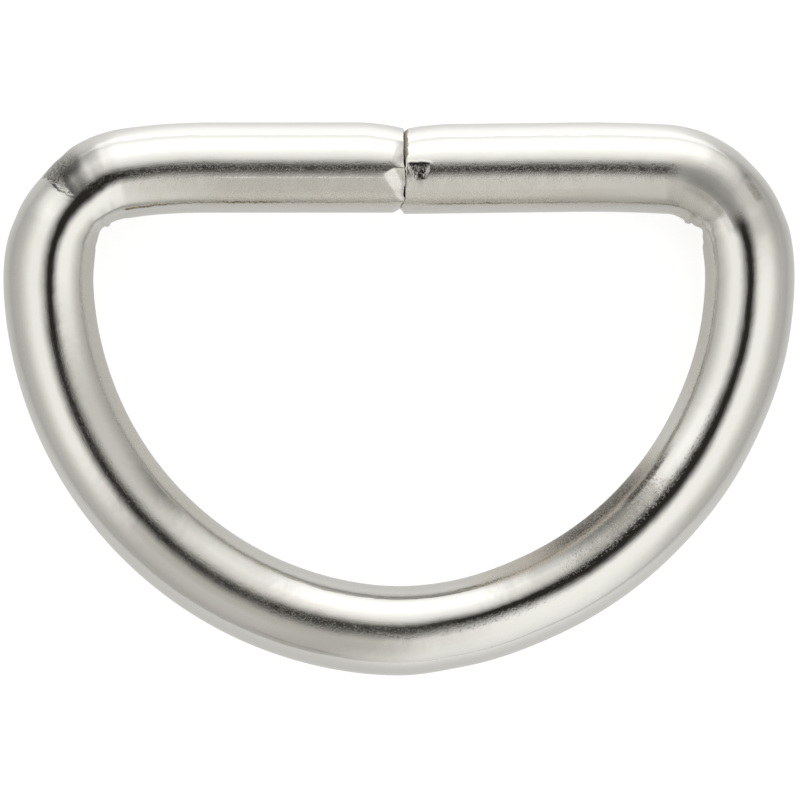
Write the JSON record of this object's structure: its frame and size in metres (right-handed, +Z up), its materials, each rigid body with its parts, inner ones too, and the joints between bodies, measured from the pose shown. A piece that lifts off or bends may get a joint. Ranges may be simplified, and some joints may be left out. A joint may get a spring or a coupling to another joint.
{
  "type": "d ring",
  "caption": "Flat D-shaped ring bent from round nickel-plated steel wire, with a butt joint in its straight bar, for webbing and hooks.",
  "frame": {"origin": "under the middle of the ring, on the surface it lies on", "axes": "+X along the straight bar, +Y from the bow towards the bar, +Z up through the thickness of the wire"},
  "size_m": [0.0324, 0.0226, 0.0037],
  "materials": {
    "nickel": "bright nickel plate on steel wire, with fine pits, bending marks and light tarnish along the middle and at the joint"
  },
  "bodies": {
    "root": {"ring_wire": "nickel"}
  },
  "joints": []
}
